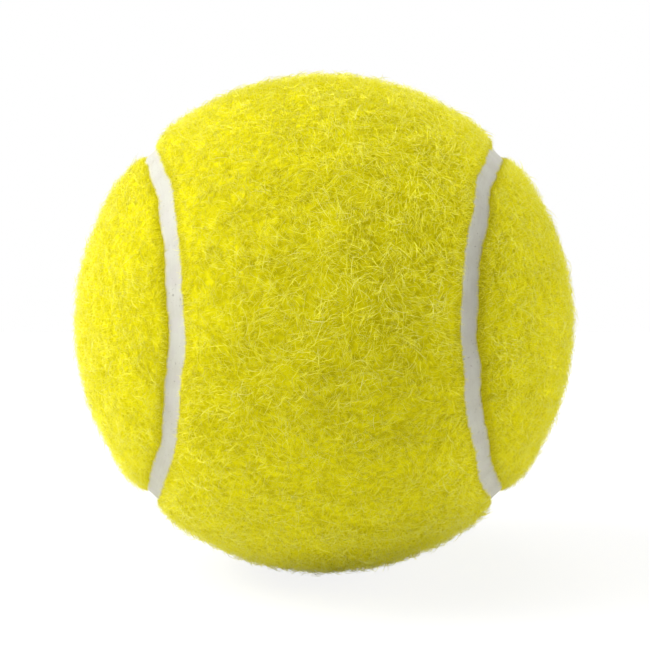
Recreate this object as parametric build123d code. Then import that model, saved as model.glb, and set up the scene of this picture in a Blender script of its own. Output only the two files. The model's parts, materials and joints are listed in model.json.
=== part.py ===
from build123d import *
import math
import os

# A hollow tennis ball in millimetres, built up in layers from the rubber core to the felt cover.
# The origin is the centre of the ball and +Z is up. The waist of the front felt panel faces -Y,
# with its lobes at the top and bottom. The back panel is its twin, with its lobes at the sides.

# Driving dimensions of the rubber core
CORE_DIAMETER = 60.0
CORE_WALL = 3.3
CORE_JOINT = 0.3

# Driving dimensions of the cement, on the core and on the back of each felt panel
CORE_CEMENT = 0.15
PANEL_CEMENT = 0.15

# Driving dimensions of the felt panels: the waist is straight across, between the seam lines
FELT_THICKNESS = 3.2
FELT_EDGE_ROUND = 2.4
WAIST_WIDTH = 32.3

# Driving dimensions of the seam: the gap between the felt edges, and its depth below the felt
PANEL_GAP = 1.0
SEAM_RECESS = 0.85

# How far a cutting face reaches past the layer that it cuts
CUT_OVERRUN = 1.0

# The seam line is drawn as this many curves, each of this many spans
SEAM_CURVES = 16
CURVE_SPANS = 4

# Most of the felt's thickness that its rounded edge may take up
EDGE_ROUND_SHARE = 0.9

# Radii of the layers
core_radius = CORE_DIAMETER / 2
cavity_radius = core_radius - CORE_WALL
core_cement_radius = core_radius + CORE_CEMENT
felt_back_radius = core_cement_radius + PANEL_CEMENT
ball_radius = felt_back_radius + FELT_THICKNESS
seam_radius = ball_radius - SEAM_RECESS
felt_edge_round = min(FELT_EDGE_ROUND, EDGE_ROUND_SHARE * FELT_THICKNESS)

# The seam line is a closed wave round the ball, and the waist sets how far it swings
waist_share = WAIST_WIDTH / (2 * seam_radius)
circle_share = (1 + waist_share) / 2
wave_share = (1 - waist_share) / 2
swing_share = 2 * math.sqrt(circle_share * wave_share)

# Spheres of the core have their poles on Y, the axis of the core's joint
CORE_AXES = Plane(origin=(0, 0, 0), z_dir=(0, 1, 0))

# Spheres of the cover have their poles and their own edge line well inside the back panel
COVER_AXES = Plane(origin=(0, 0, 0), x_dir=(0, 1, 0), z_dir=(1, 0, 0))

# Half a turn about this line puts the front panel in the back panel's place
TWIN_AXIS = Axis((0, 0, 0), (1, 0, 1))
TWIN_TURN = 180


def seam_line(turn):
    """Direction from the centre of the ball to a point of the seam line."""
    return Vector(
        circle_share * math.cos(turn) - wave_share * math.cos(3 * turn),
        -swing_share * math.cos(2 * turn),
        circle_share * math.sin(turn) + wave_share * math.sin(3 * turn),
    )


def seam_heading(turn):
    """Direction in which the seam line, and each line beside it, runs at that point."""
    return Vector(
        -circle_share * math.sin(turn) + 3 * wave_share * math.sin(3 * turn),
        2 * swing_share * math.sin(2 * turn),
        circle_share * math.cos(turn) + 3 * wave_share * math.cos(3 * turn),
    )


def panel_edge_point(turn, radius):
    """Point on a sphere where the front panel ends, half the gap beside the seam line."""
    beside = PANEL_GAP / (2 * ball_radius)
    on_line = seam_line(turn)
    to_panel = on_line.cross(seam_heading(turn)).normalized()
    return (on_line * math.cos(beside) + to_panel * math.sin(beside)) * radius


def panel_edge_curve(index, radius):
    """One of the curves that make up the front panel's edge on a sphere."""
    turns = [
        2 * math.pi * (index + span / CURVE_SPANS) / SEAM_CURVES for span in range(CURVE_SPANS + 1)
    ]
    return Edge.make_spline(
        [panel_edge_point(turn, radius) for turn in turns],
        tangents=[seam_heading(turns[0]), seam_heading(turns[-1])],
    )


def hollow_ball(inner_radius, outer_radius, axes):
    """Ball with a round hollow in its middle."""
    return (Solid.make_sphere(outer_radius, axes) - Solid.make_sphere(inner_radius, axes)).solid()


def front_layer(inner_radius, outer_radius):
    """The part of a hollow ball that the front panel covers, cut square to the ball all round."""
    inner_cut_radius = inner_radius - CUT_OVERRUN
    outer_cut_radius = outer_radius + CUT_OVERRUN
    cuts = [
        Face.make_surface_from_curves(
            panel_edge_curve(index, inner_cut_radius),
            panel_edge_curve(index, outer_cut_radius),
        )
        for index in range(SEAM_CURVES)
    ]
    pieces = hollow_ball(inner_radius, outer_radius, COVER_AXES).split(Shell(cuts), keep=Keep.ALL)
    return min(pieces, key=lambda piece: piece.center(CenterOf.MASS).Y)


def rounded_front_layer(inner_radius):
    """A layer that reaches the outside of the ball, with its outer edge rounded over."""
    layer = front_layer(inner_radius, ball_radius)
    outside = max(layer.faces(), key=lambda face: face.area)
    return layer.fillet(felt_edge_round, outside.edges())


def twin(front_piece):
    """The back panel's copy of a piece of the front panel."""
    return front_piece.rotate(TWIN_AXIS, TWIN_TURN)


def core_half(side):
    """Moulded half shell whose rim stops half a joint short of the middle: side is -1 at the front."""
    rim = Plane(origin=(0, side * CORE_JOINT / 2, 0), z_dir=(0, side, 0))
    return hollow_ball(cavity_radius, core_radius, CORE_AXES).split(rim, keep=Keep.TOP)


def core_joint():
    """Ring of adhesive between the rims of the two half shells."""
    slab = Solid.make_cylinder(
        core_radius + CUT_OVERRUN,
        CORE_JOINT,
        Plane(origin=(0, -CORE_JOINT / 2, 0), z_dir=(0, 1, 0)),
    )
    return hollow_ball(cavity_radius, core_radius, CORE_AXES) & slab


def seam():
    """Loop of rubber that fills the gap between the panels, up to its depth below the felt."""
    front_cover = rounded_front_layer(core_cement_radius - CUT_OVERRUN)
    filling = hollow_ball(core_cement_radius, seam_radius, COVER_AXES)
    return filling - front_cover - twin(front_cover)


felt_panel = rounded_front_layer(felt_back_radius)
panel_cement = front_layer(core_cement_radius, felt_back_radius)

nodes = {
    "core_half_front": core_half(-1),
    "core_half_back": core_half(1),
    "core_joint": core_joint(),
    "core_cement": hollow_ball(core_radius, core_cement_radius, CORE_AXES),
    "panel_cement_front": panel_cement,
    "panel_cement_back": twin(panel_cement),
    "felt_panel_front": felt_panel,
    "felt_panel_back": twin(felt_panel),
    "seam": seam(),
}

os.makedirs("parts", exist_ok=True)
for name, shape in nodes.items():
    export_step(shape, f"parts/{name}.step")
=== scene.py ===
import json
import math

import bmesh
import bpy
import numpy as np
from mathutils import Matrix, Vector

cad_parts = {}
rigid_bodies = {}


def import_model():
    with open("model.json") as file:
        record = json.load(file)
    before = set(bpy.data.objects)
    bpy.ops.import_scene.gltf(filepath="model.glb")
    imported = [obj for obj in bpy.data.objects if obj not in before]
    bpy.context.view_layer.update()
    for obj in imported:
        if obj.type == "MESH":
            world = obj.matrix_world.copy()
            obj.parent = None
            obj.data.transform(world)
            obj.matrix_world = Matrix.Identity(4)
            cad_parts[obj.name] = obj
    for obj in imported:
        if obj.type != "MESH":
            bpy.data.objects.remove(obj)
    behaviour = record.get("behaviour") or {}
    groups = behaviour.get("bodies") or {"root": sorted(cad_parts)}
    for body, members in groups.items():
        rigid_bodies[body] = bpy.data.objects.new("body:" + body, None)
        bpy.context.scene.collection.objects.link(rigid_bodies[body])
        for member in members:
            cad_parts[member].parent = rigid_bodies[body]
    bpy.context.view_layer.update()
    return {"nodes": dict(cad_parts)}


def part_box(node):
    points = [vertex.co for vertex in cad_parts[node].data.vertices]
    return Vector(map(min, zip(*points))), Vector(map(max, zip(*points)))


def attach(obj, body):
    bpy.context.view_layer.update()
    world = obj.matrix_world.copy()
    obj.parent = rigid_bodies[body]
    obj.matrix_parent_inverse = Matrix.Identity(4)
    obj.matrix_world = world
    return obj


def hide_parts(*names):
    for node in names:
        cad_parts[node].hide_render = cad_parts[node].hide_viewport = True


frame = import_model()

# Sizes are in metres, and the ball's own come from the frame
MM = 0.001
SQUARE_MM = MM * MM
DEGREE = math.pi / 180
BALL_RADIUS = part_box("felt_panel_front")[1].z
CEMENT_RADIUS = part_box("core_cement")[1].z
FELT_BACK_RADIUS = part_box("panel_cement_front")[1].z

# The seam line, as the panels were cut: the waist is straight across between seam lines
WAIST_WIDTH = 32.3 * MM
SEAM_RECESS = 0.85 * MM
SEAM_HALF_WIDTH = 1.23 * MM
SEAM_RADIUS = BALL_RADIUS - SEAM_RECESS

waist_share = WAIST_WIDTH / (2 * SEAM_RADIUS)
circle_share = (1 + waist_share) / 2
wave_share = (1 - waist_share) / 2
swing_share = 2 * math.sqrt(circle_share * wave_share)


class Wire:
    """An output of a node. Sums and products of wires and numbers add Math nodes."""

    def __init__(self, sheet, socket):
        self.sheet = sheet
        self.socket = socket

    def math(self, operation, first, second):
        return self.sheet.add("ShaderNodeMath", {"operation": operation}, {0: first, 1: second})

    def __add__(self, other):
        return self.math("ADD", self, other)

    def __radd__(self, other):
        return self.math("ADD", other, self)

    def __sub__(self, other):
        return self.math("SUBTRACT", self, other)

    def __rsub__(self, other):
        return self.math("SUBTRACT", other, self)

    def __mul__(self, other):
        return self.math("MULTIPLY", self, other)

    def __rmul__(self, other):
        return self.math("MULTIPLY", other, self)

    def __truediv__(self, other):
        return self.math("DIVIDE", self, other)

    def __pow__(self, other):
        return self.math("POWER", self, other)


class Sheet:
    """A node tree that is written down as expressions."""

    def __init__(self, tree):
        self.tree = tree

    def add(self, kind, settings=None, inputs=None, output=0):
        """Adds a node, with its settings first, then its inputs by name, identifier or number."""
        node = self.tree.nodes.new(kind)
        for name, value in (settings or {}).items():
            if name == "stops":
                set_stops(node.color_ramp, value)
            else:
                setattr(node, name, value)
        for key, value in (inputs or {}).items():
            self.join(find_socket(node.inputs, key), value)
        return Wire(self, find_socket(node.outputs, output))

    def join(self, socket, value):
        """Gives a socket a wire or a fixed value."""
        if isinstance(value, Wire):
            self.tree.links.new(value.socket, socket)
        else:
            socket.default_value = value

    def mix(self, share, first, second):
        """A colour between two colours."""
        return self.add(
            "ShaderNodeMix",
            {"data_type": "RGBA"},
            {"Factor_Float": share, "A_Color": first, "B_Color": second},
            "Result_Color",
        )

    def ramp(self, value, low, high, to_low=0.0, to_high=1.0):
        """A value that runs smoothly from to_low to to_high as value goes from low to high."""
        limits = {"From Min": low, "From Max": high, "To Min": to_low, "To Max": to_high}
        return self.add(
            "ShaderNodeMapRange",
            {"interpolation_type": "SMOOTHSTEP"},
            {"Value": value, **limits},
        )

    def noise(self, place, scale, detail=2.0, output="Fac"):
        """Cloudy noise of about one lump in each 1 / scale of the place."""
        return self.add(
            "ShaderNodeTexNoise", None, {"Vector": place, "Scale": scale, "Detail": detail}, output
        )

    def bump(self, shader, strength, distance, height):
        """Small relief on the surface of a shader."""
        relief = {"Strength": strength, "Distance": distance, "Height": height}
        self.join(shader.inputs["Normal"], self.add("ShaderNodeBump", None, relief, "Normal"))


def find_socket(sockets, key):
    """A socket by its number, identifier or name."""
    if isinstance(key, int):
        return sockets[key]
    for socket in sockets:
        if key in (socket.identifier, socket.name):
            return socket
    raise KeyError(key)


def set_stops(ramp, stops):
    """Gives a colour ramp its places and colours."""
    while len(ramp.elements) < len(stops):
        ramp.elements.new(1.0)
    for element, (place, colour) in zip(ramp.elements, stops):
        element.position = place
        element.color = colour


def new_material(name):
    """A material with one principled shader, and the sheet that it is written on."""
    material = bpy.data.materials.new(name)
    material.use_nodes = True
    sheet = Sheet(material.node_tree)
    shader = material.node_tree.nodes["Principled BSDF"]
    return material, sheet, shader


# The seam line and what lies beside it

LUMP_WAVES = 40
LUMP_SPREAD = (0.7, 1.4)


def seam_line(turn):
    """Directions from the centre of the ball to points of the seam line."""
    return np.stack(
        [
            circle_share * np.cos(turn) - wave_share * np.cos(3 * turn),
            -swing_share * np.cos(2 * turn),
            circle_share * np.sin(turn) + wave_share * np.sin(3 * turn),
        ],
        axis=-1,
    )


def seam_side(turn):
    """Directions square to the seam line, along the ball, towards the front panel."""
    heading = np.stack(
        [
            -circle_share * np.sin(turn) + 3 * wave_share * np.sin(3 * turn),
            2 * swing_share * np.sin(2 * turn),
            circle_share * np.cos(turn) + 3 * wave_share * np.cos(3 * turn),
        ],
        axis=-1,
    )
    side = np.cross(seam_line(turn), heading)
    return side / np.linalg.norm(side, axis=-1, keepdims=True)


def beside_seam(turn, distance):
    """Directions to points at a distance from the seam line, counted along the seam's surface."""
    angle = (np.asarray(distance) / SEAM_RADIUS)[..., None]
    return np.cos(angle) * seam_line(turn) + np.sin(angle) * seam_side(turn)


def lumps(directions, wavelength, seed):
    """Smooth random lumps, about -1 to 1, of a given size on the ball."""
    rng = np.random.default_rng(seed)
    heading = rng.normal(size=(LUMP_WAVES, 3))
    heading /= np.linalg.norm(heading, axis=1, keepdims=True)
    pace = 2 * math.pi * BALL_RADIUS / (wavelength * rng.uniform(*LUMP_SPREAD, LUMP_WAVES))
    phase = rng.uniform(0, 2 * math.pi, LUMP_WAVES)
    waves = np.sin(directions @ (heading * pace[:, None]).T + phase)
    return waves.sum(-1) / math.sqrt(LUMP_WAVES)


# Sways that can be seen: turn along the seam line, shift to the front panel in mm, and reach
SEEN_SWAYS = (
    (-0.41, 0.20, 0.05),
    (-0.30, -0.16, 0.05),
    (-0.10, -0.36, 0.045),
    (0.06, -0.14, 0.05),
    (0.27, -0.24, 0.05),
    (0.38, 0.34, 0.045),
    (2.79, 0.38, 0.05),
    (3.06, -0.26, 0.06),
    (3.18, 0.16, 0.03),
    (3.28, -0.22, 0.05),
    (3.45, 0.36, 0.06),
)

# Made-up sways on the two stretches between those, which lie half a turn apart
SWAY_SEED = 17
UNSEEN_STRETCHES = 2
UNSEEN_PER_STRETCH = 13
UNSEEN_START = 0.5
UNSEEN_LENGTH = 2.14
UNSEEN_JITTER = (0.2, 0.8)
UNSEEN_SHIFT = 0.34
UNSEEN_REACH = (0.04, 0.07)

# How a panel's cut edge wanders by itself: waves round the seam, and their height
EDGE_SEEDS = {"front": 11, "back": 23}
EDGE_WAVE_COUNTS = (17, 25, 38, 61, 97, 140, 190)
EDGE_WAVE_SPREAD = (0.6, 1.2)
EDGE_WAVE = 0.036 * MM


def bump(turn, place, reach):
    """One smooth bump on the closed seam line."""
    gap = np.angle(np.exp(1j * (turn - place)))
    return np.exp(-((gap / reach) ** 2))


def seam_sway(turn):
    """How far the whole seam leaves its line, in metres towards the front panel."""
    rng = np.random.default_rng(SWAY_SEED)
    sway = sum(shift * bump(turn, place, reach) for place, shift, reach in SEEN_SWAYS)
    for stretch in range(UNSEEN_STRETCHES):
        for number in range(UNSEEN_PER_STRETCH):
            step = number + rng.uniform(*UNSEEN_JITTER)
            place = math.pi * stretch + UNSEEN_START + UNSEEN_LENGTH * step / UNSEEN_PER_STRETCH
            shift = rng.uniform(-UNSEEN_SHIFT, UNSEEN_SHIFT)
            sway = sway + shift * bump(turn, place, rng.uniform(*UNSEEN_REACH))
    return MM * sway


def edge_waves(turn, panel):
    """How far the cut edge of one panel wanders by itself, in metres."""
    rng = np.random.default_rng(EDGE_SEEDS[panel])
    wander = np.zeros_like(turn)
    for count in EDGE_WAVE_COUNTS:
        height = rng.uniform(*EDGE_WAVE_SPREAD)
        wander += height * np.sin(count * turn + rng.uniform(0, 2 * math.pi))
    return EDGE_WAVE * wander


def felt_edge(turn, panel):
    """Distance of a panel's edge from the seam line, positive towards the front panel."""
    side = 1 if panel == "front" else -1
    return seam_sway(turn) + side * (SEAM_HALF_WIDTH + edge_waves(turn, panel))


def join_rows(build, first, second, flip):
    """Faces between two closed rows of points."""
    count = len(first)
    for step in range(count):
        after = (step + 1) % count
        corners = [first[step], first[after], second[after], second[step]]
        build.faces.new(corners[::-1] if flip else corners)


# The felt panels

TURN_STEPS = 720
FELT_ROWS = 40
BACK_ROWS = 8
ROW_CROWDING = 1.6
SPINE_REACH = 100 * DEGREE
SAME_POINT = 0.0005 * MM

# The felt's surface under the nap, its rolled edge and the swell behind that
FELT_UNDER_NAP = 0.55 * MM
EDGE_ROLL_WIDTH = 3.0 * MM
EDGE_SWELL = 0.14 * MM
EDGE_SWELL_PLACE = 4.5 * MM
EDGE_TUCK = 0.06 * MM

# Soft lumps in the felt: height, length and seed
FELT_LUMPS = (
    (0.06 * MM, 7 * MM, 31),
    (0.03 * MM, 2.4 * MM, 32),
)


def spine(turn, panel):
    """Directions to the middle line of a panel, opposite each turn of the seam."""
    if panel == "front":
        along = SPINE_REACH * np.sin(turn)
        return np.stack([np.zeros_like(along), -np.cos(along), np.sin(along)], axis=-1)
    along = SPINE_REACH * np.cos(turn)
    return np.stack([np.sin(along), np.cos(along), np.zeros_like(along)], axis=-1)


def felt_height(directions, inward):
    """Radius of the felt's surface: a rounded edge, a swell behind it and soft lumps."""
    crown = BALL_RADIUS - FELT_UNDER_NAP
    edge_drop = crown - (SEAM_RADIUS - EDGE_TUCK)
    roll = np.clip(1 - inward / EDGE_ROLL_WIDTH, 0, 1)
    swell = np.exp(-(((inward - EDGE_SWELL_PLACE) / EDGE_ROLL_WIDTH) ** 2))
    fade = 1 - roll
    height = crown - edge_drop * (1 - np.sqrt(1 - roll**2)) + EDGE_SWELL * swell * fade
    for lump, length, seed in FELT_LUMPS:
        height = height + fade * lump * lumps(directions, length, seed)
    return height


def felt_panel(panel):
    """A dumbbell of felt as a closed mesh, with what the nap needs to know about each point."""
    turn = np.linspace(0, 2 * math.pi, TURN_STEPS, endpoint=False)
    tuck = EDGE_TUCK if panel == "front" else -EDGE_TUCK
    edge = beside_seam(turn, felt_edge(turn, panel) - tuck)
    middle = spine(turn, panel)
    span = np.arccos(np.clip((edge * middle).sum(-1), -1, 1))
    toward = middle - edge * np.cos(span)[:, None]
    toward /= np.linalg.norm(toward, axis=-1, keepdims=True)
    mesh = bpy.data.meshes.new(f"felt_{panel}")
    build = bmesh.new()
    nap = build.verts.layers.float.new("nap")
    edge_distance = build.verts.layers.float.new("edge_distance")
    to_seam = build.verts.layers.float_vector.new("to_seam")

    def row_of_points(share, on_top):
        angle = share * span
        inward = angle * BALL_RADIUS
        directions = np.cos(angle)[:, None] * edge + np.sin(angle)[:, None] * toward
        outward = np.sin(angle)[:, None] * edge - np.cos(angle)[:, None] * toward
        height = np.full(TURN_STEPS, FELT_BACK_RADIUS)
        if on_top:
            height = felt_height(directions, inward)
        row = []
        for step in range(TURN_STEPS):
            vert = build.verts.new(directions[step] * height[step])
            vert[nap] = 1.0 if on_top else 0.0
            vert[edge_distance] = inward[step]
            vert[to_seam] = outward[step]
            row.append(vert)
        return row

    top = [row_of_points(share**ROW_CROWDING, True) for share in np.linspace(0, 1, FELT_ROWS)]
    bottom = [row_of_points(share, False) for share in np.linspace(0, 1, BACK_ROWS)]
    flip = panel == "back"
    for outer, inner in zip(top, top[1:]):
        join_rows(build, outer, inner, flip)
    for outer, inner in zip(bottom, bottom[1:]):
        join_rows(build, outer, inner, not flip)
    join_rows(build, top[0], bottom[0], not flip)
    for line in (top[-1], bottom[-1]):
        bmesh.ops.remove_doubles(build, verts=line, dist=SAME_POINT)
    bmesh.ops.dissolve_degenerate(build, dist=SAME_POINT, edges=build.edges)
    for face in build.faces:
        face.smooth = True
    build.to_mesh(mesh)
    build.free()
    return mesh


# The seam

SEAM_STEPS = 720
SEAM_ROWS = 12
SEAM_DISH = 0.05 * MM

# Soft lumps in the rubber: height, length and seed
SEAM_LUMPS = (
    (0.025 * MM, 3 * MM, 41),
    (0.012 * MM, 1.1 * MM, 42),
)

# Streaks in the rubber: their width, and the radius of the ring on which their noise runs
STREAK_WIDTH = 0.22 * MM
STREAK_RING = 14.0


def seam_loop():
    """The loop of rubber between the felt edges, as a closed mesh."""
    turn = np.linspace(0, 2 * math.pi, SEAM_STEPS, endpoint=False)
    share = np.linspace(0, 1, SEAM_ROWS)[:, None]
    across = (1 - share) * felt_edge(turn, "back") + share * felt_edge(turn, "front")
    directions = beside_seam(turn, across)
    height = SEAM_RADIUS - SEAM_DISH * (1 - (2 * share - 1) ** 2)
    for lump, length, seed in SEAM_LUMPS:
        height = height + lump * lumps(directions, length, seed)
    top = directions * height[..., None]
    bottom = directions[[-1, 0]] * CEMENT_RADIUS
    mesh = bpy.data.meshes.new("seam_rubber")
    build = bmesh.new()
    streak_place = build.verts.layers.float_vector.new("streak_place")
    lines = np.concatenate([top, bottom])
    rows = [[build.verts.new(point) for point in line] for line in lines]
    for number, row in enumerate(rows[:SEAM_ROWS]):
        offset = 2 * SEAM_HALF_WIDTH * number / (SEAM_ROWS - 1) / STREAK_WIDTH
        for vert, angle in zip(row, turn):
            ring_x = STREAK_RING * math.cos(angle)
            ring_y = STREAK_RING * math.sin(angle)
            vert[streak_place] = (ring_x, ring_y, offset)
    for first, second in zip(rows, rows[1:] + rows[:1]):
        join_rows(build, first, second, False)
    top_verts = {vert for row in rows[:SEAM_ROWS] for vert in row}
    for face in build.faces:
        face.smooth = all(vert in top_verts for vert in face.verts)
    build.to_mesh(mesh)
    build.free()
    return mesh


# The fibres of the nap

STRAND_SIDES = 3
STRAND_ROOT = 0.10 * MM
STRAND_TAPER = 0.45
BEND = 0.6

# A direction that no fibre runs along
ASIDE = Vector((0.3, 1.0, 0.2))

# The fibres' map: u is the tone plus a thin strip round the fibre, and v runs to the tip
MAP_NAME = "OFBake"
TONE_U = 0.02
TONE_U_SPAN = 0.93
STRIP_U = 0.03
ROOT_V = 0.02
LENGTH_V = 0.96


def strand_line(length, segments, rise, fall, curl, wiggle):
    """Points of one fibre that rises out of the felt, bends over and curls along it."""
    points = [Vector((0.0, 0.0, -STRAND_ROOT))]
    for step in range(segments):
        share = (step + 0.5) / segments
        lift = rise + (fall - rise) * share**BEND
        heading = curl * share + wiggle * math.sin(2 * math.pi * share)
        way = Vector(
            (
                math.cos(lift) * math.cos(heading),
                math.cos(lift) * math.sin(heading),
                math.sin(lift),
            )
        )
        points.append(points[-1] + length / segments * way)
    return points


def strand_mesh(name, points, radius):
    """A three-sided fibre. A bent one is pointed at both ends, and a straight one at its tip."""
    build = bmesh.new()
    uv = build.loops.layers.uv.new(MAP_NAME)
    last = len(points) - 1
    straight = last == 1
    rings = [] if straight else [[build.verts.new(points[0])]]
    for place in range(0 if straight else 1, last):
        along = (points[place + 1] - points[max(place - 1, 0)]).normalized()
        across = along.cross(ASIDE).normalized()
        up = along.cross(across)
        thick = radius * (1 - STRAND_TAPER * place / last)
        ring = []
        for side in range(STRAND_SIDES):
            angle = 2 * math.pi * side / STRAND_SIDES
            offset = math.cos(angle) * across + math.sin(angle) * up
            ring.append(build.verts.new(points[place] + thick * offset))
        rings.append(ring)
    rings.append([build.verts.new(points[-1])])
    for place in range(last):
        low, high = rings[place], rings[place + 1]
        for side in range(STRAND_SIDES):
            corners = {}
            for ring, around, level in (
                (low, side, place),
                (low, side + 1, place),
                (high, side + 1, place + 1),
                (high, side, place + 1),
            ):
                corners.setdefault(ring[around % len(ring)], (around, level))
            face = build.faces.new(list(corners))
            for loop, (around, level) in zip(face.loops, corners.values()):
                loop[uv].uv = (STRIP_U * around / STRAND_SIDES, ROOT_V + LENGTH_V * level / last)
    if straight:
        for side, loop in enumerate(build.faces.new(rings[0]).loops):
            loop[uv].uv = (STRIP_U * side / STRAND_SIDES, ROOT_V)
    bmesh.ops.recalc_face_normals(build, faces=build.faces)
    mesh = bpy.data.meshes.new(name)
    build.to_mesh(mesh)
    build.free()
    return mesh


def strand_kit(name, seed, count, segments, length, radius, rise, fall, curl, wiggle):
    """A collection of differently bent fibres. Each range is a lowest and a highest value."""
    rng = np.random.default_rng(seed)
    kit = bpy.data.collections.new(name)
    bpy.context.scene.collection.children.link(kit)
    for number in range(count):
        points = strand_line(
            rng.uniform(*length),
            segments,
            rng.uniform(*rise),
            rng.uniform(*fall),
            rng.uniform(*curl) * rng.choice((-1, 1)),
            rng.uniform(-wiggle, wiggle),
        )
        mesh = strand_mesh(f"{name}_{number}", points, radius)
        kit.objects.link(bpy.data.objects.new(mesh.name, mesh))
    return kit


# How the nap stands by a panel's edge: it is denser, combed towards the seam, short, and darker as
# painted shade in the groove
EDGE_NEAR = 0.3 * MM
EDGE_FAR = 2.2 * MM
EDGE_CROWDING = 2.4
EDGE_COMB = 0.85
EDGE_STRAY_CUT = 0.4
EDGE_REVERSED_CUT = 0.3
EDGE_ROOM = 0.5 * MM
LEAST_ROOM = 0.36
PAINTED_SHADE_FAR = 1.2 * MM
FRINGE_FULL = 0.6 * MM
FRINGE_END = 1.6 * MM

# How it stands all over: in clumps, half of it turned about, with patches of tone
CLUMP_LIMITS = (0.35, 0.60)
CLUMP_CROWDING = (0.6, 1.3)
REVERSED_SHARE = 0.5
PATCH_GAIN = 0.8
FIBRE_PICKS = 999


def nap_tree():
    """Geometry nodes that stand fibres all over the felt, combed by a slow swirl."""
    tree = bpy.data.node_groups.new("nap", "GeometryNodeTree")
    sockets = {}
    for name, kind in (
        ("Felt", "NodeSocketGeometry"),
        ("Fibres", "NodeSocketCollection"),
        ("Density", "NodeSocketFloat"),
        ("Clumps", "NodeSocketFloat"),
        ("Swirl", "NodeSocketFloat"),
        ("Stray", "NodeSocketFloat"),
        ("Tilt", "NodeSocketFloat"),
        ("Smallest", "NodeSocketFloat"),
        ("Largest", "NodeSocketFloat"),
        ("Edge Reach", "NodeSocketFloat"),
        ("Edge Only", "NodeSocketFloat"),
        ("Edge Shade", "NodeSocketFloat"),
        ("Patches", "NodeSocketFloat"),
        ("Tone Low", "NodeSocketFloat"),
        ("Tone High", "NodeSocketFloat"),
        ("Seed", "NodeSocketInt"),
        ("Material", "NodeSocketMaterial"),
    ):
        socket = tree.interface.new_socket(name, in_out="INPUT", socket_type=kind)
        sockets[name] = socket.identifier
    tree.interface.new_socket("Nap", in_out="OUTPUT", socket_type="NodeSocketGeometry")
    sheet = Sheet(tree)
    given_node = tree.nodes.new("NodeGroupInput")
    given = {name: Wire(sheet, given_node.outputs[name]) for name in sockets}

    def attribute(name, kind):
        return sheet.add(
            "GeometryNodeInputNamedAttribute", {"data_type": kind}, {"Name": name}, "Attribute"
        )

    def random(low, high, salt):
        return sheet.add(
            "FunctionNodeRandomValue",
            {"data_type": "FLOAT"},
            {"Min_001": low, "Max_001": high, "Seed": given["Seed"] + salt},
            "Value_001",
        )

    # Where the fibres stand
    spots = sheet.tree.nodes.new("GeometryNodeDistributePointsOnFaces")
    sheet.join(spots.inputs["Mesh"], given["Felt"])
    edge_distance = attribute("edge_distance", "FLOAT")
    crowding = sheet.ramp(edge_distance, EDGE_NEAR, EDGE_FAR, EDGE_CROWDING, 1.0)
    fringe = sheet.ramp(edge_distance, FRINGE_FULL, FRINGE_END, 1.0, 0.0)
    clumps = sheet.noise(sheet.add("GeometryNodeInputPosition"), given["Clumps"], 1.0)
    crowding = crowding * sheet.ramp(clumps, *CLUMP_LIMITS, *CLUMP_CROWDING)
    crowding = crowding + given["Edge Only"] * (fringe - crowding)
    density = given["Density"] * crowding * attribute("nap", "FLOAT")
    sheet.join(find_socket(spots.inputs, "Density"), density)
    sheet.join(spots.inputs["Seed"], given["Seed"])
    points = Wire(sheet, spots.outputs["Points"])
    normal = Wire(sheet, spots.outputs["Normal"])
    place = sheet.add("GeometryNodeInputPosition")

    # Which way they lie
    swirl = sheet.noise(place, given["Swirl"], 1.0, "Color")
    swirl = sheet.add(
        "ShaderNodeVectorMath", {"operation": "SUBTRACT"}, {0: swirl, 1: (0.5, 0.5, 0.5)}
    )
    swirl = sheet.add("ShaderNodeVectorMath", {"operation": "NORMALIZE"}, {0: swirl})
    near_edge = sheet.ramp(edge_distance, EDGE_NEAR, EDGE_FAR, 1.0, 0.0)
    to_seam = attribute("to_seam", "FLOAT_VECTOR")
    comb = sheet.add(
        "ShaderNodeMix",
        {"data_type": "VECTOR"},
        {"Factor_Float": near_edge * EDGE_COMB, "A_Vector": swirl, "B_Vector": to_seam},
        "Result_Vector",
    )
    stand = sheet.add("FunctionNodeAlignRotationToVector", {"axis": "Z"}, {"Vector": normal})
    stand = sheet.add(
        "FunctionNodeAlignRotationToVector",
        {"axis": "X", "pivot_axis": "Z"},
        {"Rotation": stand, "Vector": comb},
    )
    stray = given["Stray"] * (1.0 - EDGE_STRAY_CUT * near_edge)
    reversed_share = REVERSED_SHARE - EDGE_REVERSED_CUT * near_edge
    about_face = math.pi * sheet.add(
        "ShaderNodeMath", {"operation": "LESS_THAN"}, {0: random(0.0, 1.0, 7), 1: reversed_share}
    )
    turn = sheet.add(
        "ShaderNodeCombineXYZ",
        None,
        {
            "X": random(-1.0, 1.0, 1) * given["Tilt"],
            "Y": random(-1.0, 1.0, 2) * given["Tilt"],
            "Z": random(-1.0, 1.0, 3) * stray + about_face,
        },
    )
    turn = sheet.add("FunctionNodeEulerToRotation", None, {"Euler": turn})
    stand = sheet.add(
        "FunctionNodeRotateRotation",
        {"rotation_space": "LOCAL"},
        {"Rotation": stand, "Rotate By": turn},
    )

    # How large they are, and the fibres themselves
    size = random(given["Smallest"], given["Largest"], 4)
    room = (edge_distance + EDGE_ROOM) / given["Edge Reach"]
    room = sheet.add("ShaderNodeClamp", None, {"Value": room, "Min": LEAST_ROOM})
    made = sheet.add(
        "GeometryNodeInstanceOnPoints",
        None,
        {
            "Points": points,
            "Instance": sheet.add(
                "GeometryNodeCollectionInfo",
                None,
                {"Collection": given["Fibres"], "Separate Children": True, "Reset Children": True},
            ),
            "Pick Instance": True,
            "Instance Index": sheet.add(
                "FunctionNodeRandomValue",
                {"data_type": "INT"},
                {"Min_002": 0, "Max_002": FIBRE_PICKS, "Seed": given["Seed"] + 5},
                "Value_002",
            ),
            "Rotation": stand,
            "Scale": size * room,
        },
    )
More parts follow.
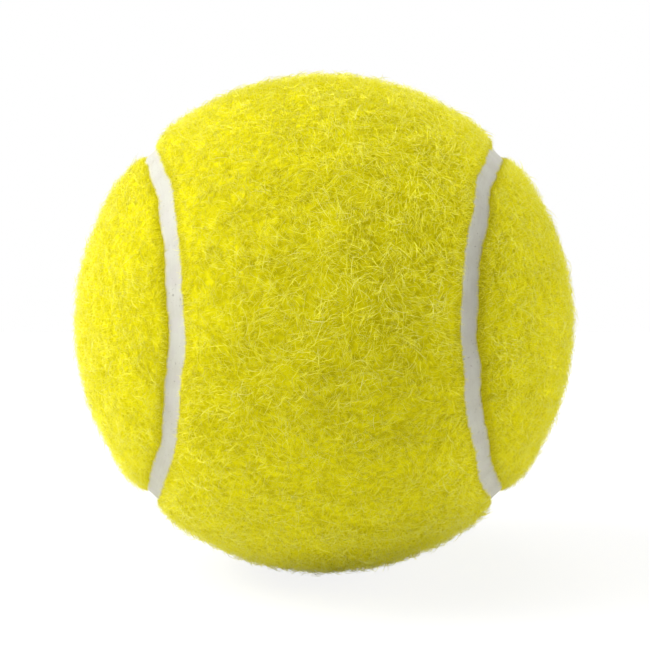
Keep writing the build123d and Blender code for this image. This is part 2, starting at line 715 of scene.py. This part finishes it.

    # The tone of each fibre: random, in patches, and lowered by the panel's edge as painted shade
    patch = sheet.noise(place, given["Patches"], 2.0)
    shade = given["Edge Shade"] * sheet.ramp(edge_distance, EDGE_NEAR, PAINTED_SHADE_FAR, 1.0, 0.0)
    tone = random(given["Tone Low"], given["Tone High"], 6) + PATCH_GAIN * (patch - 0.5) - shade
    tone = sheet.add("ShaderNodeClamp", None, {"Value": tone})
    made = sheet.add(
        "GeometryNodeStoreNamedAttribute",
        {"data_type": "FLOAT", "domain": "INSTANCE"},
        {"Geometry": made, "Name": "tone", "Value": tone},
    )
    made = sheet.add("GeometryNodeRealizeInstances", None, {"Geometry": made})
    made = sheet.add(
        "GeometryNodeSetMaterial", None, {"Geometry": made, "Material": given["Material"]}
    )
    tree.links.new(made.socket, tree.nodes.new("NodeGroupOutput").inputs[0])
    return tree, sockets


def grow_nap(name, felt, tree, sockets, values):
    """One layer of nap on a felt panel, as a plain mesh with each fibre's tone on its map's u."""
    carrier = bpy.data.objects.new("carrier", felt)
    bpy.context.scene.collection.objects.link(carrier)
    grow = carrier.modifiers.new("nap", "NODES")
    grow.node_group = tree
    for key, value in values.items():
        grow[sockets[key]] = value
    ready = carrier.evaluated_get(bpy.context.evaluated_depsgraph_get())
    mesh = bpy.data.meshes.new_from_object(ready)
    mesh.name = name
    bpy.data.objects.remove(carrier)
    tone = np.zeros(len(mesh.vertices), np.float32)
    mesh.attributes["tone"].data.foreach_get("value", tone)
    corner = np.zeros(len(mesh.loops), np.int32)
    mesh.loops.foreach_get("vertex_index", corner)
    layer = mesh.uv_layers[MAP_NAME]
    uv = np.zeros(len(mesh.loops) * 2, np.float32)
    layer.data.foreach_get("uv", uv)
    uv[0::2] += TONE_U + TONE_U_SPAN * tone[corner]
    layer.data.foreach_set("uv", uv)
    mesh.attributes.remove(mesh.attributes["tone"])
    return mesh


# Materials

# The felt under the nap, darker than its fibres as painted shade in their gaps, and its painted
# shade by the edge
FELT_DEEP = (0.64, 0.58, 0.004, 1)
FELT_LIGHT = (0.83, 0.77, 0.006, 1)
FELT_PAINTED_EDGE_SHADE = (0.56, 0.50, 0.0035, 1)

NAP_TONES = (
    (0.0, (0.74, 0.67, 0.005, 1)),
    (0.2, (0.85, 0.79, 0.010, 1)),
    (0.45, (0.905, 0.855, 0.019, 1)),
    (0.75, (0.97, 0.94, 0.055, 1)),
    (0.9, (0.99, 0.975, 0.18, 1)),
    (1.0, (0.995, 0.985, 0.45, 1)),
)
# Painted shade at the fibres' roots, and painted sheen at their tips
PAINTED_SHADE_ROOT = (0.90, 0.85, 0.006, 1)
PAINTED_SHEEN_TIP = (0.985, 0.975, 0.40, 1)
PAINTED_SHEEN_TIP_SHARE = 0.8
NAP_SHEEN = (1.0, 0.98, 0.80, 1)

RUBBER_DARK = (0.535, 0.522, 0.454, 1)
RUBBER_LIGHT = (0.587, 0.584, 0.513, 1)
RUBBER_BLUSH = (0.56, 0.53, 0.50, 1)
# Painted light bounced from the felt, yellowing the rubber by its borders
RUBBER_PAINTED_BOUNCE = (0.68, 0.60, 0.17, 1)
RUBBER_SPECK = (0.24, 0.22, 0.18, 1)
BLUSH_SHARE = 0.5
PAINTED_BOUNCE_SHARE = 0.85
PAINTED_BOUNCE_WIDTH = 0.35 * MM
SPECK_SHARE = 0.6

# Fibres and matted wool hardly shine
WOOL_SPECULAR = 0.05


def felt_material():
    """Matted yellow wool under the nap: deep yellow, darker than the fibres as painted shade in
    their gaps, olive by the seam as painted shade.
    """
    material, sheet, shader = new_material("felt")
    place = sheet.add("ShaderNodeTexCoord", output="Object")
    mat = sheet.noise(place, 1 / (0.7 * MM), 2.0)
    cloud = sheet.noise(place, 1 / (5 * MM), 2.0)
    depth = sheet.ramp(0.7 * mat + 0.3 * cloud, 0.35, 0.60)
    colour = sheet.mix(depth, FELT_DEEP, FELT_LIGHT)
    edge_distance = sheet.add(
        "ShaderNodeAttribute", {"attribute_name": "edge_distance"}, None, "Fac"
    )
    # Painted shade: the felt turns olive over its last 1.4 mm by the seam
    painted_edge_shade = sheet.ramp(edge_distance, 0.2 * MM, 1.4 * MM, 1.0, 0.0)
    sheet.join(shader.inputs["Base Color"], sheet.mix(painted_edge_shade, colour, FELT_PAINTED_EDGE_SHADE))
    shader.inputs["Roughness"].default_value = 0.95
    shader.inputs["Specular IOR Level"].default_value = WOOL_SPECULAR
    sheet.bump(shader, 0.6, 0.2 * MM, mat)
    return material


def nap_material():
    """Fine dyed fibres: u is each fibre's own tone and v runs from its root to its tip, with
    painted shade at the root and painted sheen at the tips of the paler ones.
    """
    material, sheet, shader = new_material("nap")
    uv = sheet.add("ShaderNodeUVMap", {"uv_map": MAP_NAME})
    tone = sheet.add("ShaderNodeSeparateXYZ", None, {"Vector": uv}, "X")
    along = Wire(sheet, tone.socket.node.outputs["Y"])
    body = sheet.add("ShaderNodeValToRGB", {"stops": NAP_TONES}, {"Fac": tone})
    # Painted shade towards the root, and painted sheen towards the tip of the paler fibres
    root = sheet.ramp(along, 0.0, 0.3)
    tip = sheet.ramp(along, 0.5, 1.0) * sheet.ramp(tone, 0.35, 0.60)
    colour = sheet.mix(root, PAINTED_SHADE_ROOT, body)
    sheet.join(shader.inputs["Base Color"], sheet.mix(PAINTED_SHEEN_TIP_SHARE * tip, colour, PAINTED_SHEEN_TIP))
    shader.inputs["Roughness"].default_value = 0.6
    shader.inputs["Specular IOR Level"].default_value = WOOL_SPECULAR
    shader.inputs["Sheen Weight"].default_value = 0.2
    shader.inputs["Sheen Roughness"].default_value = 0.5
    shader.inputs["Sheen Tint"].default_value = NAP_SHEEN
    return material


def seam_material():
    """Matte pale rubber, mottled, streaked along its length, yellowed by its borders as painted
    light bounced from the felt, and specked.
    """
    material, sheet, shader = new_material("seam_rubber")
    place = sheet.add("ShaderNodeTexCoord", output="Object")
    along = sheet.add("ShaderNodeAttribute", {"attribute_name": "streak_place"}, None, "Vector")
    grain = sheet.noise(place, 1 / (0.5 * MM), 4.0)
    cloud = sheet.noise(place, 1 / (2.5 * MM), 3.0)
    streak = sheet.noise(along, 1.0, 3.0)
    tone = sheet.ramp(0.5 * cloud + 0.3 * streak + 0.2 * grain, 0.36, 0.62)
    colour = sheet.mix(tone, RUBBER_DARK, RUBBER_LIGHT)
    blush = sheet.ramp(sheet.noise(place, 1 / (1.8 * MM), 2.0), 0.52, 0.66)
    colour = sheet.mix(BLUSH_SHARE * blush, colour, RUBBER_BLUSH)
    middle = SEAM_HALF_WIDTH / STREAK_WIDTH
    across = sheet.add("ShaderNodeSeparateXYZ", None, {"Vector": along}, "Z")
    from_middle = sheet.add("ShaderNodeMath", {"operation": "ABSOLUTE"}, {0: across - middle})
    # Painted bounce light: the rubber yellows over its last 0.35 mm by each felt edge
    painted_bounce_border = sheet.ramp(from_middle, (SEAM_HALF_WIDTH - PAINTED_BOUNCE_WIDTH) / STREAK_WIDTH, middle)
    colour = sheet.mix(PAINTED_BOUNCE_SHARE * painted_bounce_border, colour, RUBBER_PAINTED_BOUNCE)
    speck = sheet.ramp(sheet.noise(place, 1 / (0.3 * MM), 1.0), 0.68, 0.76)
    sheet.join(shader.inputs["Base Color"], sheet.mix(speck * SPECK_SHARE, colour, RUBBER_SPECK))
    sheet.join(shader.inputs["Roughness"], 0.55 + 0.2 * grain)
    sheet.bump(shader, 0.35, 0.05 * MM, grain)
    return material


def inner_material(name, dark, light, rough):
    """Moulded or brushed rubber inside the ball."""
    material, sheet, shader = new_material(name)
    place = sheet.add("ShaderNodeTexCoord", output="Object")
    cloud = sheet.noise(place, 1 / (6 * MM), 4.0)
    sheet.join(shader.inputs["Base Color"], sheet.mix(sheet.ramp(cloud, 0.3, 0.7), dark, light))
    sheet.join(shader.inputs["Roughness"], rough + 0.15 * cloud)
    sheet.bump(shader, 0.3, 0.1 * MM, cloud)
    return material


def place_piece(name, mesh, material, replaced=None):
    """A finished piece of the ball, riding on its one body."""
    piece = bpy.data.objects.new(name, mesh)
    bpy.context.scene.collection.objects.link(piece)
    if material:
        mesh.materials.clear()
        mesh.materials.append(material)
    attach(piece, "root")
    if replaced:
        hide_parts(replaced)
    return piece


# Build the ball

felt_look = felt_material()
nap_look = nap_material()
seam_look = seam_material()
core_look = inner_material("core_rubber", (0.045, 0.045, 0.05, 1), (0.08, 0.08, 0.085, 1), 0.6)
cement_look = inner_material("cement", (0.52, 0.40, 0.22, 1), (0.66, 0.54, 0.33, 1), 0.35)

undercoat = strand_kit(
    name="undercoat",
    seed=1,
    count=10,
    segments=2,
    length=(1.0 * MM, 1.7 * MM),
    radius=0.056 * MM,
    rise=(30 * DEGREE, 60 * DEGREE),
    fall=(-15 * DEGREE, 0 * DEGREE),
    curl=(0.0, 0.6),
    wiggle=0.05,
)
curls = strand_kit(
    name="curls",
    seed=2,
    count=14,
    segments=2,
    length=(1.0 * MM, 1.9 * MM),
    radius=0.040 * MM,
    rise=(60 * DEGREE, 85 * DEGREE),
    fall=(-5 * DEGREE, 30 * DEGREE),
    curl=(0.0, 0.9),
    wiggle=0.1,
)
strands = strand_kit(
    name="strands",
    seed=3,
    count=14,
    segments=3,
    length=(2.1 * MM, 3.5 * MM),
    radius=0.037 * MM,
    rise=(45 * DEGREE, 72 * DEGREE),
    fall=(-14 * DEGREE, 0 * DEGREE),
    curl=(0.0, 1.2),
    wiggle=0.35,
)
hairs = strand_kit(
    name="hairs",
    seed=4,
    count=14,
    segments=1,
    length=(0.6 * MM, 1.05 * MM),
    radius=0.023 * MM,
    rise=(70 * DEGREE, 90 * DEGREE),
    fall=(40 * DEGREE, 85 * DEGREE),
    curl=(0.0, 1.0),
    wiggle=0.1,
)
fringe = strand_kit(
    name="fringe",
    seed=5,
    count=8,
    segments=2,
    length=(0.5 * MM, 1.1 * MM),
    radius=0.032 * MM,
    rise=(20 * DEGREE, 60 * DEGREE),
    fall=(-30 * DEGREE, 10 * DEGREE),
    curl=(0.0, 0.5),
    wiggle=0.1,
)


def nap_layer(name, kit, parts, per_square_mm, reach, tone, edge_only=0.0):
    """What one layer of nap is: its fibres, how dense it is, its reach in mm and its tones."""
    return {
        "name": name,
        "kit": kit,
        "parts": parts,
        "density": per_square_mm / SQUARE_MM,
        "reach": reach * MM,
        "tone": tone,
        "edge_only": edge_only,
    }


# Tones by layer paint light: the undercoat deep in the nap is darkest as painted shade, the
# standing hairs palest as painted sheen, and within each range the tone is random
NAP_LAYERS = (
    nap_layer("undercoat", undercoat, parts=2, per_square_mm=4.9, reach=1.8, tone=(0.20, 0.40)),
    nap_layer("curls", curls, parts=2, per_square_mm=5.2, reach=2.2, tone=(0.45, 0.74)),
    nap_layer("strands", strands, parts=1, per_square_mm=1.5, reach=3.0, tone=(0.68, 0.86)),
    nap_layer("hairs", hairs, parts=1, per_square_mm=4.8, reach=1.6, tone=(0.86, 0.97)),
    nap_layer(
        "fringe",
        fringe,
        parts=1,
        per_square_mm=14.0,
        reach=0.7,
        tone=(0.30, 0.90),
        edge_only=1.0,
    ),
)
# Painted shade: how far each panel's nap tone drops by its edge
EDGE_PAINTED_SHADE = {"front": 0.05, "back": 0.12}
FIRST_SEED = 110
SEED_STEP = 10

tree, sockets = nap_tree()
seed = FIRST_SEED
for panel in ("front", "back"):
    felt = felt_panel(panel)
    cover = place_piece(f"felt_{panel}", felt, felt_look, f"felt_panel_{panel}")
    for nap in NAP_LAYERS:
        for part in range(nap["parts"]):
            mesh = grow_nap(
                f"nap_{panel}_{nap['name']}_{part + 1}",
                felt,
                tree,
                sockets,
                {
                    "Fibres": nap["kit"],
                    "Density": nap["density"] / nap["parts"],
                    "Clumps": 1 / (1.5 * MM),
                    "Swirl": 1 / (4.5 * MM),
                    "Stray": 0.9,
                    "Tilt": 0.12,
                    "Smallest": 0.65,
                    "Largest": 1.05,
                    "Edge Reach": nap["reach"],
                    "Edge Only": nap["edge_only"],
                    "Edge Shade": EDGE_PAINTED_SHADE[panel],
                    "Patches": 1 / (1.7 * MM),
                    "Tone Low": nap["tone"][0],
                    "Tone High": nap["tone"][1],
                    "Seed": seed,
                    "Material": nap_look,
                },
            )
            seed += SEED_STEP
            place_piece(mesh.name, mesh, None)
place_piece("seam_rubber", seam_loop(), seam_look, "seam")

for kit in (undercoat, curls, strands, hairs, fringe):
    for strand in list(kit.objects):
        bpy.data.objects.remove(strand)
    bpy.data.collections.remove(kit)

for node, look in (
    ("core_half_front", core_look),
    ("core_half_back", core_look),
    ("core_joint", cement_look),
    ("core_cement", cement_look),
    ("panel_cement_front", cement_look),
    ("panel_cement_back", cement_look),
):
    frame["nodes"][node].data.materials.clear()
    frame["nodes"][node].data.materials.append(look)

# The floor, the light and the camera

FLOOR_DROP = 0.3 * MM
FLOOR_SIZE = 3.0
FLOOR_COLOUR = (0.88, 0.88, 0.88, 1)
WHITE = (1, 1, 1, 1)

# How white the floor looks, and how much of that hides its shading
FLOOR_GLOW = 1.1
FLOOR_GLOW_SHARE = 0.79

# Soft boxes round the ball: where each one stands, how strong it is and how narrow
SOFT_BOXES = {
    "left": ((-0.95, -0.25, 0.05), 3.5, 20.0),
    "upper left": ((-0.68, -0.14, 0.71), 17.6, 30.0),
    "ceiling": ((0.0, 0.0, 1.0), 4.9, 24.0),
    "right": ((0.85, 0.42, 0.3), 1.0, 24.0),
    "low right": ((0.95, 0.3, 0.02), 19.6, 32.0),
}

# Where the camera stands, and where and how large the ball is in its picture
CAMERA_DISTANCE = 142 * MM
CAMERA_AZIMUTH = 0.4
CAMERA_ELEVATION = 0.7
NEAREST_SEEN = 10 * MM
IMAGE_SIDE = 650
BALL_CENTRE_PIXEL = (324.3, 323.1)
BALL_OUTLINE_PIXELS = 249.2


def background_share(sheet):
    """1 for what the camera sees, straight or in gloss or glass, and 0 for light on the ball."""
    path = sheet.tree.nodes.new("ShaderNodeLightPath")
    seen = Wire(sheet, path.outputs["Is Camera Ray"])
    seen = seen + Wire(sheet, path.outputs["Is Glossy Ray"])
    seen = seen + Wire(sheet, path.outputs["Is Transmission Ray"])
    return sheet.add("ShaderNodeClamp", None, {"Value": seen})


def white_floor():
    """A plain white floor that keeps a faint shadow of the ball."""
    mesh = bpy.data.meshes.new("floor")
    half = FLOOR_SIZE / 2
    low = -BALL_RADIUS - FLOOR_DROP
    corners = [(-half, -half, low), (half, -half, low), (half, half, low), (-half, half, low)]
    mesh.from_pydata(corners, [], [(0, 1, 2, 3)])
    floor = bpy.data.objects.new("floor", mesh)
    bpy.context.scene.collection.objects.link(floor)
    material, sheet, shader = new_material("white_floor")
    shader.inputs["Base Color"].default_value = FLOOR_COLOUR
    shader.inputs["Roughness"].default_value = 1.0
    shader.inputs["Specular IOR Level"].default_value = 0.0
    glow = sheet.add("ShaderNodeEmission", None, {"Color": WHITE, "Strength": FLOOR_GLOW})
    share = background_share(sheet) * FLOOR_GLOW_SHARE
    surface = sheet.add(
        "ShaderNodeMixShader", None, {0: share, 1: Wire(sheet, shader.outputs[0]), 2: glow}
    )
    output = material.node_tree.nodes["Material Output"]
    sheet.join(output.inputs["Surface"], surface)
    mesh.materials.append(material)


def light_tent():
    """Soft white light from boxes round the ball, strongest from the upper left and the right."""
    world = bpy.data.worlds.new("light_tent")
    bpy.context.scene.world = world
    world.use_nodes = True
    sheet = Sheet(world.node_tree)
    heading = sheet.add("ShaderNodeTexCoord", output="Generated")
    level = 0.0
    for source, strength, tightness in SOFT_BOXES.values():
        facing = sheet.add(
            "ShaderNodeVectorMath",
            {"operation": "DOT_PRODUCT"},
            {0: heading, 1: Vector(source).normalized()},
            "Value",
        )
        facing = sheet.add("ShaderNodeMath", {"operation": "MAXIMUM"}, {0: facing, 1: 0.0})
        level = level + strength * facing**tightness
    level = level + background_share(sheet) * (1.0 - level)
    background = world.node_tree.nodes["Background"]
    background.inputs["Color"].default_value = WHITE
    sheet.join(background.inputs["Strength"], level)


def camera():
    """A camera that sees the ball where and as large as the photograph shows it."""
    data = bpy.data.cameras.new("camera")
    seer = bpy.data.objects.new("camera", data)
    bpy.context.scene.collection.objects.link(seer)
    azimuth = math.radians(CAMERA_AZIMUTH)
    elevation = math.radians(CAMERA_ELEVATION)
    back = Vector(
        (
            math.sin(azimuth) * math.cos(elevation),
            -math.cos(azimuth) * math.cos(elevation),
            math.sin(elevation),
        )
    )
    outline_distance = math.sqrt(CAMERA_DISTANCE**2 - BALL_RADIUS**2)
    focal_pixels = outline_distance * BALL_OUTLINE_PIXELS / BALL_RADIUS
    data.lens = data.sensor_width * focal_pixels / IMAGE_SIDE
    data.clip_start = NEAREST_SEEN
    seer.rotation_euler = back.to_track_quat("Z", "Y").to_euler()
    seer.location = back * CAMERA_DISTANCE
    data.shift_x = (IMAGE_SIDE / 2 - BALL_CENTRE_PIXEL[0]) / IMAGE_SIDE
    data.shift_y = (BALL_CENTRE_PIXEL[1] - IMAGE_SIDE / 2) / IMAGE_SIDE
    bpy.context.scene.camera = seer


white_floor()
light_tent()
camera()
bpy.context.scene.view_settings.view_transform = "Standard"
